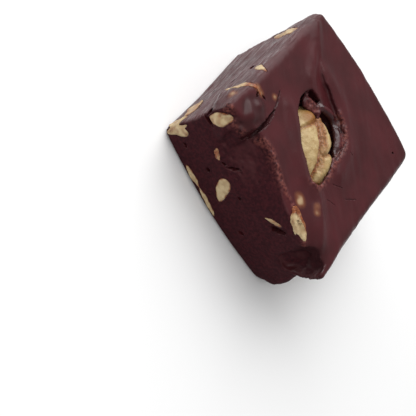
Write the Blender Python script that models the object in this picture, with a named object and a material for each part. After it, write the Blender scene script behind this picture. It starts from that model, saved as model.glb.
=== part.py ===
"""Walnut fudge: one hand-cut block of chocolate fudge with a walnut half sunk in its poured top.

Four sides are knife cuts that show sliced walnuts and small air holes. The top is the poured side, with a
rolled rim, a fold that opens into a hollow round the walnut half, and a lump at one corner where the
fudge only just covers another nut. The base is flat, as the tray left it.

The origin is on the base, under the middle of the block's bounds. The front cut faces -Y, the left one -X.
Lengths below are in millimetres; the scene is in metres.
"""

import math
import random

import bmesh
import bpy
from mathutils import Matrix, Vector, noise

MM = 0.001

# Lengths are counted from the middle of a straight block. This is the middle of the real one's bounds.
MIDDLE = Vector((0.14, 1.38, 0.0))

# The block before the knife wandered, and how each corner strays from it: (side x, side y, top or base).
LENGTH = 58.0
DEPTH = 58.0
HEIGHT = 28.0
CORNER_STRAY = {
    (0, 0, 0): (0.4, 2.0, 0.0),
    (1, 0, 0): (1.2, 0.2, 0.0),
    (0, 1, 0): (-0.4, -11.0, 0.0),
    (1, 1, 0): (0.2, -1.8, 0.0),
    (0, 0, 1): (-0.2, 0.6, 0.2),
    (1, 0, 1): (0.3, -3.2, -0.8),
    (0, 1, 1): (-0.8, 3.2, 0.2),
    (1, 1, 1): (-0.4, 4.4, 0.5),
}

# The front cut bows out along the base, and the back one along the top.
BASE_BOW = 2.8
TOP_BOW = 3.0

# Corners that are worn off: the corner, which way is inward along each axis, and how much goes.
WORN_CORNERS = (
    (Vector((30.6, -30.6, 0.0)), Vector((-1, 1, 1)), 8.0),
    (Vector((30.2, -32.0, 28.5)), Vector((-1, 1, -1)), 4.0),
    (Vector((-30.0, 34.2, 30.0)), Vector((1, -1, -0.3)), 6.0),
)
WORN_SOFTNESS = 1.0

# A dent in the upright edge between the front and right cuts.
DENT = Vector((30.0, -30.0, 15.6))
DENT_DEPTH = 2.2
DENT_WIDTH = 3.6

# Edges are soft: round at the poured rim, tight where the block stood on the tray.
RIM_RADIUS = 3.0
BASE_RADIUS = 1.2
RIM_STEPS = 2
GRID_CELL = 3.6

# The poured top: slow waves from the spatula, and ridges where it lifted off, as plan paths.
WAVE_HEIGHT = 0.45
WAVE_LENGTH = 15.0
TOP_RIDGES = (
    {"path": ((-27, 25), (-22, 20), (-19, 15), (-16.5, 10)), "height": 1.2, "width": 2.6},
    {"path": ((-12, 17.5), (-4, 16.5), (3, 13), (9, 8), (12, -2)), "height": 0.9, "width": 3.0},
    {"path": ((8.5, -15.5), (12, -17), (16, -21), (21, -26)), "height": 1.2, "width": 2.4},
    {"path": ((-15, -6), (-9, -9), (-3, -13.5), (3, -16.5)), "height": 0.7, "width": 2.6},
)
FOLD_PATH = ((-18.4, 18.2), (-15.2, 16.1), (-11.6, 14.7), (-8.1, 14.0), (-4.6, 12.6))
FOLD_DROP = 1.8
FOLD_WIDTH = 3.4
SAG_CENTRE = Vector((21.5, -28.5))
SAG_DEPTH = 2.0
SAG_WIDTH = 6.0

# The knife cuts wander a little, and the front one leans back at the top, left of its middle.
CUT_WANDER = 0.5
CUT_WAVE_LENGTH = 19.0
SHOULDER_LEAN = 6.4
SHOULDER_X = -11.0
SHOULDER_WIDTH = 13.0
SHOULDER_FOOT = 14.0

# A lump stands at the front left top corner, where fudge covers a nut.
LUMP_CENTRE = Vector((-22.9, -20.3, 23.6))
LUMP_RADII = Vector((6.7, 8.2, 6.4))

# The hollow round the walnut half: plan points of its rim, and the height of its wall at each.
HOLLOW_RIM = (
    (-12.2, 10.0, 3.6),
    (-8.4, 12.2, 2.4),
    (-4.2, 12.4, 2.6),
    (0.6, 10.8, 3.0),
    (4.8, 7.2, 3.4),
    (7.6, 1.6, 3.4),
    (9.6, -5.0, 3.0),
    (9.2, -11.0, 2.4),
    (6.6, -14.4, 2.0),
    (2.4, -13.6, 2.0),
    (-3.0, -11.0, 2.4),
    (-8.0, -7.4, 3.0),
    (-12.4, -3.0, 5.0),
    (-14.6, 2.0, 7.0),
    (-14.6, 6.4, 6.0),
)
HOLLOW_MIDDLE = Vector((-2.5, -1.5))
HOLLOW_DEPTH = 8.0
HOLLOW_UNDERCUT = 0.5
CURVE_STEPS = 3

# A rolled bead of fudge lies in the hollow, between its far wall and the nut.
BEAD_PATH = ((-9.0, 10.0, 22.6), (-4.0, 9.4, 24.4), (2.0, 8.0, 25.0), (6.0, 4.0, 25.2), (8.6, -1.5, 25.2), (9.6, -7.5, 25.6))
BEAD_RADIUS = 1.5

# The crack between the lump and the rest of the top.
CRACK_PATH = ((-21.5, -6.0), (-18.4, -10.0), (-17.2, -15.0), (-17.4, -20.0), (-19.4, -26.0))
CRACK_WIDTH = 0.7
CRACK_DEPTH = 3.0

# Walnuts. A pocket is this much bigger than its nut each way, so that the solids stay 0.3 mm apart.
POCKET_GROWTH = 0.38
LOBE_SIZE = 0.20
LOBE_PITCH = 1.3
FURROW_DEPTH = 0.16
FURROW_PITCH = 1.1
KERNEL_MESH = (14, 8)
SMALL_KERNEL_MESH = (12, 6)
SMALL_KERNEL = 3.6

HALF_CENTRE = Vector((-0.4, -4.2, 21.6))
HALF_RADII = Vector((13.6, 8.8, 7.0))
HALF_TURN = -44.0
HALF_ROLL = 10.0
HALF_MESH = (28, 16)

# Nuts that a cut or the top shows. "at" is where they meet the face: along it, and up from the base.
# "size" is half the length, half the width and half the depth, "tilt" the turn of the length on the face,
# "sunk" how far the middle lies inside the face, "proud" how far the nut stands out of it.
SHOWN_NUTS = {
    "walnut_corner_slice": {"face": "front", "at": (-26.5, 23.1), "size": (4.6, 2.2, 3.4), "tilt": 43, "sunk": 0.8, "seed": 1},
    "walnut_front_oval": {"face": "front", "at": (-6.1, 10.0), "size": (4.5, 3.0, 3.8), "tilt": -54, "sunk": 0.8, "seed": 2},
    "walnut_front_small": {"face": "front", "at": (-16.8, 15.0), "size": (2.0, 1.2, 1.8), "tilt": -18, "sunk": 0.5, "seed": 3},
    "walnut_front_flake": {"face": "front", "at": (8.8, 20.4), "size": (3.9, 0.9, 2.4), "tilt": 41, "sunk": 0.3, "proud": 0.3, "seed": 4},
    "walnut_front_foot": {"face": "front", "at": (-27.0, 5.4), "size": (4.7, 2.7, 3.2), "tilt": 78, "sunk": 0.6, "proud": 0.5, "seed": 5},
    "walnut_base_slice_1": {"face": "front", "at": (-13.6, 2.2), "size": (4.4, 1.1, 3.0), "tilt": 3, "sunk": 0.4, "proud": 0.5, "seed": 6},
    "walnut_base_slice_2": {"face": "front", "at": (-3.8, 2.0), "size": (4.9, 1.1, 3.0), "tilt": -3, "sunk": 0.4, "proud": 0.4, "seed": 7},
    "walnut_left_foot": {"face": "left", "at": (16.5, 5.6), "size": (5.4, 4.2, 3.4), "tilt": -20, "sunk": 0.8, "seed": 8},
    "walnut_left_long": {"face": "left", "at": (-20.4, 19.6), "size": (6.4, 2.9, 3.6), "tilt": 66, "sunk": 0.8, "proud": 0.3, "seed": 9},
    "walnut_left_small": {"face": "left", "at": (4.4, 24.2), "size": (3.2, 2.0, 2.6), "tilt": 50, "sunk": 0.6, "seed": 10},
}
EDGE_NUT = {"centre": Vector((10.4, -28.9, 26.6)), "size": Vector((6.4, 2.5, 2.3)), "turn": -16.0, "seed": 11}
RIM_NUT = {"centre": Vector((-27.6, -18.2, 27.0)), "size": Vector((6.8, 1.4, 2.6)), "turn": 70.0, "seed": 12}

# The two cuts away from the front show nuts as well, one in each cell of a coarse grid.
HIDDEN_FACES = ("right", "back")
HIDDEN_COLUMNS = (-15.0, 15.0)
HIDDEN_ROWS = (8.0, 20.0)
HIDDEN_JITTER = (8.0, 2.4)
HIDDEN_LONG = (2.6, 5.4)
HIDDEN_SEED = 41

# Air holes in the cuts: face, along, up, length, width and tilt.
AIR_HOLES = (
    ("front", -22.4, 5.4, 0.9, 0.7, 0),
    ("front", -13.2, 8.8, 0.8, 0.6, 20),
    ("front", -10.6, 17.2, 2.1, 0.6, 50),
    ("front", -1.9, 14.1, 0.7, 0.5, 0),
    ("front", 9.0, 7.0, 1.2, 0.6, 30),
    ("front", 11.5, 19.6, 2.8, 1.3, 55),
    ("left", 0.2, 18.8, 1.3, 1.0, 0),
    ("left", 9.0, 17.2, 0.9, 0.7, 20),
    ("left", 7.8, 7.4, 1.1, 0.7, -30),
    ("right", 3.0, 13.4, 1.2, 0.8, 15),
    ("back", -2.0, 13.0, 1.3, 0.7, -20),
)
AIR_HOLE_DEPTH = 1.4
AIR_HOLE_MESH = (9, 5)

# Each knife cut: its two sides of the block, left to right as seen from outside, and how it faces.
FACES = {
    "front": {"left": (0, 0), "right": (1, 0), "out": Vector((0, -1, 0))},
    "right": {"left": (1, 0), "right": (1, 1), "out": Vector((1, 0, 0))},
    "back": {"left": (1, 1), "right": (0, 1), "out": Vector((0, 1, 0))},
    "left": {"left": (0, 1), "right": (0, 0), "out": Vector((-1, 0, 0))},
}

FUDGE_COLOUR = (0.075, 0.022, 0.024, 1.0)
NUT_COLOUR = (0.50, 0.33, 0.17, 1.0)


def smooth_step(value, low, high):
    """0 below low, 1 above high, with a smooth turn between them."""
    share = min(max((value - low) / (high - low), 0.0), 1.0)
    return share * share * (3.0 - 2.0 * share)


def mix(a, b, share):
    return a + (b - a) * share


def closed_curve(points, steps):
    """Points of a smooth closed curve through the given ones, with steps on each stretch."""
    count = len(points)
    made = []
    for i in range(count):
        before, start, end, after = (Vector(points[(i + k) % count]) for k in (-1, 0, 1, 2))
        for step in range(steps):
            t = step / steps
            made.append(
                0.5
                * (
                    2 * start
                    + (end - before) * t
                    + (2 * before - 5 * start + 4 * end - after) * t**2
                    + (3 * start - before - 3 * end + after) * t**3
                )
            )
    return made


def distance_to_path(point, path):
    """How far a plan point is from a path of straight runs."""
    nearest = math.inf
    for start, end in zip(path, path[1:]):
        start, run = Vector(start), Vector(end) - Vector(start)
        share = min(max((point - start).dot(run) / run.length_squared, 0.0), 1.0)
        nearest = min(nearest, (point - start - run * share).length)
    return nearest


def corner(i, j, k):
    """A corner of the cut block, in millimetres."""
    straight = Vector(((i - 0.5) * LENGTH, (j - 0.5) * DEPTH, k * HEIGHT))
    return straight + Vector(CORNER_STRAY[(i, j, k)])


def cut_block(point):
    """Where a point of the straight block goes once the corners have strayed and the cuts have bowed."""
    u, v, w = point.x / LENGTH + 0.5, point.y / DEPTH + 0.5, point.z / HEIGHT
    levels = []
    for k in (0, 1):
        front = mix(corner(0, 0, k), corner(1, 0, k), u)
        back = mix(corner(0, 1, k), corner(1, 1, k), u)
        levels.append(mix(front, back, v))
    bow = max(1.0 - (2.0 * u - 1.0) ** 2, 0.0)
    shift = TOP_BOW * w * v - BASE_BOW * (1.0 - w) * (1.0 - v)
    return mix(levels[0], levels[1], w) + Vector((0.0, shift * bow, 0.0))


def worn(point):
    """A point drawn in where a corner is worn off or the upright edge is dented. The base stays flat."""
    on_base = point.z < BASE_RADIUS / RIM_STEPS / 2
    for place, inward, reach in WORN_CORNERS:
        over = reach - (point - place).dot(inward)
        if over > 0.0:
            way = Vector((inward.x, inward.y, 0.0 if on_base else inward.z))
            point = point + way * (over * over / (over + WORN_SOFTNESS)) / way.dot(inward)
    dent = DENT_DEPTH * math.exp(-(((point - DENT).length / DENT_WIDTH) ** 2))
    return point + Vector((-dent, dent, 0.0)) / math.sqrt(2.0)


def fold_drop(plan):
    """How far the top has sunk on the near side of the fold, next to it."""
    away = distance_to_path(plan, FOLD_PATH)
    nearest = min(FOLD_PATH, key=lambda place: (Vector(place) - plan).length)
    side = smooth_step(nearest[1] - plan.y, -1.0, 0.5)
    return FOLD_DROP * side * math.exp(-((away / FOLD_WIDTH) ** 2))


def top_relief(point):
    """How far the poured top stands above its flat level at a plan point."""
    plan = point.to_2d()
    lift = WAVE_HEIGHT * noise.noise(plan.to_3d() / WAVE_LENGTH)
    lift -= fold_drop(plan)
    for ridge in TOP_RIDGES:
        away = distance_to_path(plan, ridge["path"])
        lift += ridge["height"] * math.exp(-((away / ridge["width"]) ** 2))
    return lift - SAG_DEPTH * math.exp(-(((plan - SAG_CENTRE).length / SAG_WIDTH) ** 2))


def cut_relief(point):
    """How far the knife cuts stray sideways at a point, as a vector."""
    wander = Vector(
        (
            noise.noise(point / CUT_WAVE_LENGTH + Vector((5.0, 0.0, 0.0))),
            noise.noise(point / CUT_WAVE_LENGTH + Vector((0.0, 9.0, 0.0))),
            0.0,
        )
    )
    frontness = smooth_step(-point.y, DEPTH * 0.25, DEPTH * 0.45)
    leaning = math.exp(-(((point.x - SHOULDER_X) / SHOULDER_WIDTH) ** 2))
    leaning *= smooth_step(point.z, SHOULDER_FOOT, HEIGHT) * frontness
    return wander * CUT_WANDER + Vector((0.0, SHOULDER_LEAN * leaning, 0.0))


def grid_stations(low, high, low_radius, high_radius):
    """Where the block is divided along one axis: closely in the two rounded edges, evenly between them."""
    near = [low + low_radius * (step + 1) / RIM_STEPS for step in range(RIM_STEPS)]
    far = [high - high_radius * (step + 1) / RIM_STEPS for step in range(RIM_STEPS)]
    cells = round((far[-1] - near[-1]) / GRID_CELL)
    between = [mix(near[-1], far[-1], (step + 1) / cells) for step in range(cells - 1)]
    return near + between + far


def rounded(point):
    """A point of the straight block's surface, drawn in where an edge or a corner is round."""
    radius = mix(BASE_RADIUS, RIM_RADIUS, smooth_step(point.z, 0.0, HEIGHT))
    room = Vector((LENGTH / 2 - radius, DEPTH / 2 - radius))
    inner = Vector(
        (
            min(max(point.x, -room.x), room.x),
            min(max(point.y, -room.y), room.y),
            min(max(point.z, radius), HEIGHT - radius),
        )
    )
    out = point - inner
    return inner + out.normalized() * radius if out.length > radius else point


def link_object(name, bm, shade=True):
    """A new object in the scene from a bmesh in millimetres, which is made into triangles and freed."""
    bmesh.ops.triangulate(bm, faces=bm.faces)
    bmesh.ops.translate(bm, vec=-MIDDLE, verts=bm.verts)
    bmesh.ops.scale(bm, vec=(MM, MM, MM), verts=bm.verts)
    mesh = bpy.data.meshes.new(name)
    bm.to_mesh(mesh)
    bm.free()
    if shade:
        mesh.shade_smooth()
    obj = bpy.data.objects.new(name, mesh)
    bpy.context.scene.collection.objects.link(obj)
    return obj


def as_guide(obj, collection=None):
    """Keeps an object out of the model: it only cuts or trims."""
    obj.hide_render = True
    obj.display_type = "WIRE"
    if collection is not None:
        bpy.context.scene.collection.objects.unlink(obj)
        collection.objects.link(obj)
    return obj


def combine(obj, operation, other):
    """Adds a Boolean with another object, or with all of a collection."""
    modifier = obj.modifiers.new(f"{operation}_{other.name}", "BOOLEAN")
    modifier.operation = operation
    modifier.solver = "EXACT"
    if isinstance(other, bpy.types.Collection):
        modifier.operand_type = "COLLECTION"
        modifier.collection = other
    else:
        modifier.object = other


def block_bmesh():
    """The cut block with its rounded edges, wandering cuts and rippled top, and a flat base."""
    bm = bmesh.new()
    to_place = Matrix.Translation((0.0, 0.0, HEIGHT / 2)) @ Matrix.Diagonal((LENGTH, DEPTH, HEIGHT, 1.0))
    bmesh.ops.create_cube(bm, size=1.0, matrix=to_place)
    divisions = (
        (Vector((1, 0, 0)), grid_stations(-LENGTH / 2, LENGTH / 2, RIM_RADIUS, RIM_RADIUS)),
        (Vector((0, 1, 0)), grid_stations(-DEPTH / 2, DEPTH / 2, RIM_RADIUS, RIM_RADIUS)),
        (Vector((0, 0, 1)), grid_stations(0.0, HEIGHT, BASE_RADIUS, RIM_RADIUS)),
    )
    for axis, stations in divisions:
        for station in stations:
            parts = bm.verts[:] + bm.edges[:] + bm.faces[:]
            bmesh.ops.bisect_plane(bm, geom=parts, plane_co=axis * station, plane_no=axis)
    for vert in bm.verts:
        topness = smooth_step(vert.co.z, HEIGHT * 0.75, HEIGHT)
        strayed = cut_block(rounded(vert.co))
        lift = topness * top_relief(strayed)
        vert.co = worn(strayed + cut_relief(strayed) + Vector((0.0, 0.0, lift)))
    base = [face for face in bm.faces if all(abs(vert.co.z) < 1e-4 for vert in face.verts)]
    bmesh.ops.dissolve_faces(bm, faces=base)
    bmesh.ops.recalc_face_normals(bm, faces=bm.faces)
    return bm


def lump_bmesh():
    """The swelling over the nut at the front left corner, kept inside the two cuts."""
    bm = bmesh.new()
    bmesh.ops.create_uvsphere(bm, u_segments=24, v_segments=14, radius=1.0)
    for vert in bm.verts:
        grown = Vector(a * b for a, b in zip(vert.co, LUMP_RADII))
        vert.co = LUMP_CENTRE + grown * (1.0 + 0.08 * noise.noise(vert.co * 1.7))
    return bm


def hollow_bmesh():
    """The space inside the hollow: straight up from its rim, and down in a bowl under it."""
    rim = closed_curve(HOLLOW_RIM, CURVE_STEPS)
    level = HEIGHT + 12.0
    rings = []
    for share, sink in ((0.0, None), (0.0, 0.0), (0.35, 0.45), (0.7, 0.85)):
        ring = []
        for x, y, wall in rim:
            plan = Vector((x, y)).lerp(HOLLOW_MIDDLE, share)
            if sink is None:
                ring.append(plan.to_3d() + Vector((0.0, 0.0, level)))
                continue
            depth = mix(wall, HOLLOW_DEPTH, sink)
            if share == 0.0:
                plan += (plan - HOLLOW_MIDDLE).normalized() * HOLLOW_UNDERCUT * min(wall / 2.0, 1.0)
            ring.append(plan.to_3d() + Vector((0.0, 0.0, HEIGHT - depth)))
        rings.append(ring)
    bm = bmesh.new()
    loops = [[bm.verts.new(point) for point in ring] for ring in rings]
    count = len(rim)
    for upper, lower in zip(loops, loops[1:]):
        for i in range(count):
            j = (i + 1) % count
            bm.faces.new((upper[i], upper[j], lower[j], lower[i]))
    bm.faces.new(loops[0])
    foot = bm.verts.new(HOLLOW_MIDDLE.to_3d() + Vector((0.0, 0.0, HEIGHT - HOLLOW_DEPTH)))
    for i in range(count):
        bm.faces.new((loops[-1][i], loops[-1][(i + 1) % count], foot))
    bmesh.ops.recalc_face_normals(bm, faces=bm.faces)
    return bm


def tube_object(name, path, radius, steps):
    """A round bar along a smooth open path, with closed ends."""
    curve = bpy.data.curves.new(name, "CURVE")
    curve.dimensions = "3D"
    curve.bevel_depth = radius * MM
    curve.bevel_resolution = 2
    curve.use_fill_caps = True
    curve.resolution_u = steps
    spline = curve.splines.new("BEZIER")
    spline.bezier_points.add(len(path) - 1)
    for bezier_point, place in zip(spline.bezier_points, path):
        bezier_point.co = Vector(place) * MM
        bezier_point.handle_left_type = bezier_point.handle_right_type = "AUTO"
    guide = bpy.data.objects.new(name, curve)
    bpy.context.scene.collection.objects.link(guide)
    bpy.context.view_layer.update()
    bm = bmesh.new()
    bm.from_mesh(guide.to_mesh())
    guide.to_mesh_clear()
    bpy.data.objects.remove(guide)
    bmesh.ops.remove_doubles(bm, verts=bm.verts, dist=0.001 * MM)
    bmesh.ops.recalc_face_normals(bm, faces=bm.faces)
    bmesh.ops.scale(bm, vec=(1 / MM,) * 3, verts=bm.verts)
    return link_object(name, bm)


def crack_bmesh():
    """The space inside the crack: a curved slot, widest at the top and running out at both ends."""
    bm = bmesh.new()
    points = [Vector(place) for place in CRACK_PATH]
    rows = []
    for i, place in enumerate(points):
        ahead = points[min(i + 1, len(points) - 1)] - points[max(i - 1, 0)]
        across = Vector((-ahead.y, ahead.x)).normalized().to_3d()
        fullness = math.sin(math.pi * (i + 0.6) / (len(points) + 0.2))
        middle = place.to_3d()
        top = Vector((0.0, 0.0, HEIGHT + 8.0))
        foot = Vector((0.0, 0.0, HEIGHT + 1.0 - CRACK_DEPTH * fullness))
        wide = across * CRACK_WIDTH * (0.4 + 0.6 * fullness)
        rows.append([bm.verts.new(middle + spot) for spot in (top + wide, top - wide, foot - wide * 0.3, foot + wide * 0.3)])
    for first, second in zip(rows, rows[1:]):
        for i in range(4):
            j = (i + 1) % 4
            bm.faces.new((first[i], first[j], second[j], second[i]))
    bm.faces.new(rows[0])
    bm.faces.new(rows[-1])
    bmesh.ops.recalc_face_normals(bm, faces=bm.faces)
    return bm


def kernel_shape(seed):
    """Makes kernel lumps of any size with the lobes and furrows of one seed."""
    return lambda size: kernel_bmesh(size, seed)


def kernel_bmesh(size, seed):
    """A closed lump with the lobes and furrows of walnut kernel, about its own middle."""
    bm = bmesh.new()
    around, down = KERNEL_MESH if max(size) > SMALL_KERNEL else SMALL_KERNEL_MESH
    bmesh.ops.create_uvsphere(bm, u_segments=around, v_segments=down, radius=1.0)
    offset = Vector((seed * 7.3, seed * 3.1, 0.0))
    for vert in bm.verts:
        lobe = noise.noise(vert.co * LOBE_PITCH + offset)
        furrow = abs(noise.noise(vert.co * FURROW_PITCH - offset))
        reach = 1.0 + LOBE_SIZE * lobe - FURROW_DEPTH * (1.0 - smooth_step(furrow, 0.0, 0.16))
        vert.co = Vector(a * b for a, b in zip(vert.co, size)) * reach
    return bm


def half_bmesh(size):
    """The walnut half: two long lobes side by side, a deep furrow between them and shallow ones across."""
    bm = bmesh.new()
    bmesh.ops.create_uvsphere(bm, u_segments=HALF_MESH[0], v_segments=HALF_MESH[1], radius=1.0)
    for vert in bm.verts:
        along, across, up = vert.co
        waver = 0.10 * math.sin(3.4 * along + 0.6)
        furrow = math.exp(-(((across - 0.06 - waver) / 0.17) ** 2)) * smooth_step(up, -0.2, 0.4)
        cross = math.exp(-(((along - 0.52 - 0.3 * across) / 0.12) ** 2))
        cross += math.exp(-(((along + 0.46 + 0.25 * across) / 0.13) ** 2))
        cross += 0.7 * math.exp(-(((along - 0.05 + 0.4 * across) / 0.12) ** 2)) * smooth_step(across, 0.1, 0.4)
        lobe = 0.07 * noise.noise(vert.co * 2.2 + Vector((3.0, 1.0, 0.0)))
        reach = 1.0 - 0.20 * furrow - 0.09 * cross + lobe
        vert.co = Vector(a * b for a, b in zip(vert.co, size)) * reach
        if vert.co.z < 0:
            vert.co.z *= 0.7
    return bm


def face_place(face, along, up):
    """(point on a knife cut, direction along it), from how far along and up the point is."""
    left, right = FACES[face]["left"], FACES[face]["right"]
    share = along / LENGTH + 0.5
    w = up / HEIGHT
    edges = [mix(corner(*side, 0), corner(*side, 1), w) for side in (left, right)]
    u = {"front": share, "back": 1.0 - share}.get(face, FACES[face]["left"][0])
    v = {"right": share, "left": 1.0 - share}.get(face, FACES[face]["left"][1])
    spot = cut_block(Vector(((u - 0.5) * LENGTH, (v - 0.5) * DEPTH, up)))
    return worn(spot + cut_relief(spot)), (edges[1] - edges[0]).normalized()


def on_face(face, along, up, tilt, sunk):
    """The placement of a lump that lies in a knife cut, its length along the cut and its depth into it."""
    spot, sideways = face_place(face, along, up)
    out = FACES[face]["out"]
    upward = out.cross(sideways)
    axes = Matrix((sideways, upward, out)).transposed().to_4x4()
    turn = Matrix.Rotation(math.radians(tilt), 4, "Z")
    return Matrix.Translation(spot - out * sunk) @ axes @ turn


def add_nut(name, shape, size, placement, form, pockets, proud=Vector((0, 0, 0))):
    """A walnut piece trimmed by the block's form, and the pocket that it lies in. form is None for a whole nut."""
    bm = shape(size)
    bmesh.ops.transform(bm, matrix=placement, verts=bm.verts)
    pocket = shape([radius + POCKET_GROWTH for radius in size])
    bmesh.ops.transform(pocket, matrix=placement, verts=pocket.verts)
    as_guide(link_object(f"pocket_{name}", pocket), pockets)
    nut = link_object(name, bm)
    nut.data.materials.append(bpy.data.materials["walnut_kernel"])
    if form is not None:
        trim = form
        if proud.length > 0:
            trim = form.copy()
            trim.name = f"trim_{name}"
            trim.location = proud * MM
            bpy.context.scene.collection.objects.link(trim)
            as_guide(trim)
        combine(nut, "INTERSECT", trim)
    return nut


def add_shown_nuts(form, pockets):
    for name, nut in SHOWN_NUTS.items():
        placement = on_face(nut["face"], *nut["at"], nut["tilt"], nut["sunk"])
        proud = FACES[nut["face"]]["out"] * nut.get("proud", 0.0)
        add_nut(name, kernel_shape(nut["seed"]), nut["size"], placement, form, pockets, proud)
    for name, nut in (("walnut_edge", EDGE_NUT), ("walnut_lump_rim", RIM_NUT)):
        placement = Matrix.Translation(nut["centre"]) @ Matrix.Rotation(math.radians(nut["turn"]), 4, "Z")
        add_nut(name, kernel_shape(nut["seed"]), nut["size"], placement, form, pockets)


def add_hidden_nuts(form, pockets):
    draw = random.Random(HIDDEN_SEED)
    for face in HIDDEN_FACES:
        number = 0
        for column in HIDDEN_COLUMNS:
            for row in HIDDEN_ROWS:
                number += 1
                along = column + draw.uniform(-1, 1) * HIDDEN_JITTER[0]
                up = row + draw.uniform(-1, 1) * HIDDEN_JITTER[1]
                long = draw.uniform(*HIDDEN_LONG)
                size = (long, long * draw.uniform(0.35, 0.7), long * 0.7)
                placement = on_face(face, along, up, draw.uniform(-60, 60), 0.7)
                shape = kernel_shape(draw.randint(20, 90))
                add_nut(f"walnut_{face}_{number}", shape, size, placement, form, pockets)


def add_air_holes(collection):
    for number, (face, along, up, length, width, tilt) in enumerate(AIR_HOLES):
        bm = bmesh.new()
        bmesh.ops.create_uvsphere(bm, u_segments=AIR_HOLE_MESH[0], v_segments=AIR_HOLE_MESH[1], radius=1.0)
        bmesh.ops.scale(bm, vec=(length, width, AIR_HOLE_DEPTH), verts=bm.verts)
        bmesh.ops.transform(bm, matrix=on_face(face, along, up, tilt, 0.1), verts=bm.verts)
        as_guide(link_object(f"air_hole_{number}", bm), collection)


def new_collection(name):
    collection = bpy.data.collections.new(name)
    bpy.context.scene.collection.children.link(collection)
    return collection


def plain_material(name, colour, roughness):
    material = bpy.data.materials.new(name)
    material.use_nodes = True
    shader = material.node_tree.nodes["Principled BSDF"]
    shader.inputs["Base Color"].default_value = colour
    shader.inputs["Roughness"].default_value = roughness
    shader.inputs["Metallic"].default_value = 0.0
    return material


def main():
    for obj in list(bpy.data.objects):
        bpy.data.objects.remove(obj)
    fudge_material = plain_material("chocolate_fudge", FUDGE_COLOUR, 0.38)
    plain_material("walnut_kernel", NUT_COLOUR, 0.55)

    form = as_guide(link_object("block_form", block_bmesh()))
    lump = as_guide(link_object("corner_lump", lump_bmesh()))
    combine(form, "UNION", lump)

    hollow = as_guide(link_object("nut_hollow", hollow_bmesh()))
    bead = as_guide(tube_object("hollow_bead", BEAD_PATH, BEAD_RADIUS, 4))
    cuts = new_collection("cuts")
    as_guide(link_object("lump_crack", crack_bmesh()), cuts)
    add_air_holes(cuts)

    half_place = Matrix.Translation(HALF_CENTRE) @ Matrix.Rotation(math.radians(HALF_TURN), 4, "Z")
    half_place @= Matrix.Rotation(math.radians(HALF_ROLL), 4, "X")
    add_nut("walnut_half", half_bmesh, HALF_RADII, half_place, None, cuts)
    add_shown_nuts(form, cuts)
    add_hidden_nuts(form, cuts)

    fudge = link_object("fudge", block_bmesh())
    fudge.data.materials.append(fudge_material)
    combine(fudge, "UNION", lump)
    combine(fudge, "DIFFERENCE", hollow)
    combine(fudge, "UNION", bead)
    combine(fudge, "DIFFERENCE", cuts)


main()
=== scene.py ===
import math
import random

import bmesh
import bpy
from mathutils import Matrix, Vector, noise
from mathutils.bvhtree import BVHTree


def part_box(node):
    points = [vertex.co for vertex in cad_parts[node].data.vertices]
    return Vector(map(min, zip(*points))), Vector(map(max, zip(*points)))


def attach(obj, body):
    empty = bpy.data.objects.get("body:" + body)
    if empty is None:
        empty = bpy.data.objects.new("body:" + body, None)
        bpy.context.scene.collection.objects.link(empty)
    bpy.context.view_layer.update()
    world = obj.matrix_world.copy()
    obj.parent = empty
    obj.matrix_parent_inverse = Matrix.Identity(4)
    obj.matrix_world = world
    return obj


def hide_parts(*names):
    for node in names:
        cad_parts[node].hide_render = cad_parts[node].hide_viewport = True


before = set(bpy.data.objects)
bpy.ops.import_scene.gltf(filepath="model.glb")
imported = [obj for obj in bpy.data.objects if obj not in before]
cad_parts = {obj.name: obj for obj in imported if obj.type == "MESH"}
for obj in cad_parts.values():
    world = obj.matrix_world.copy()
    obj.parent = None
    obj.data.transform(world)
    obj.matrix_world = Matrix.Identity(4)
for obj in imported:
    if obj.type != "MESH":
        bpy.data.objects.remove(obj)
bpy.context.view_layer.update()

# The view. A long lens looks down on the front left top corner from about 35 cm, with the camera
# turned well over on its side, so that "up" in the room points to the right of the picture.
# Lengths in this file are in millimetres unless a name ends in _m.
MM = 0.001
CAMERA_PLACE = Vector((-97.06, -248.93, 230.93))
CAMERA_LOOK = Vector((0.28744, 0.65742, -0.69654))
CAMERA_RIGHT = Vector((0.52732, 0.49847, 0.68808))
LENS = 95.2
SENSOR = 36.0


def aim(look, right):
    """The turn of something that looks along one direction, with another one to its right."""
    back = -look.normalized()
    right = (right - back * right.dot(back)).normalized()
    return Matrix((right, back.cross(right), back)).transposed()


camera_data = bpy.data.cameras.new("camera")
camera_data.sensor_width = SENSOR
camera_data.lens = LENS
camera_data.clip_start = 0.01
camera = bpy.data.objects.new("camera", camera_data)
camera.matrix_world = Matrix.Translation(CAMERA_PLACE * MM) @ aim(CAMERA_LOOK, CAMERA_RIGHT).to_4x4()
bpy.context.scene.collection.objects.link(camera)
bpy.context.scene.camera = camera


# The studio. A matt white sheet on a table, a big soft box behind and to the left of the block, and a
# weaker one near the camera. Plain colour rendering, so that the colours below come out as written.
SURROUNDING_LIGHT = 0.42
SOFT_BOXES = {
    "key_light": {"place_m": (-0.55, 0.45, 0.65), "width_m": 1.1, "watts": 12.5},
    "fill_light": {"place_m": (-0.25, -0.65, 0.75), "width_m": 0.6, "watts": 2.0},
}
LIT_POINT_M = Vector((0.0, 0.0, 0.02))
SHEET_WIDTH_M, SHEET_LEVEL_M = 3.0, -0.0002


def linear(hex_colour):
    """A colour written as sRGB hex, as the linear red, green, blue and alpha that a shader takes."""
    channels = [int(hex_colour[i : i + 2], 16) / 255.0 for i in (1, 3, 5)]
    return [c / 12.92 if c <= 0.04045 else ((c + 0.055) / 1.055) ** 2.4 for c in channels] + [1.0]


def shader_of(name):
    """A new material with the name, its node tree and its Principled shader."""
    material = bpy.data.materials.new(name)
    material.use_nodes = True
    return material, material.node_tree, material.node_tree.nodes["Principled BSDF"]


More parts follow.
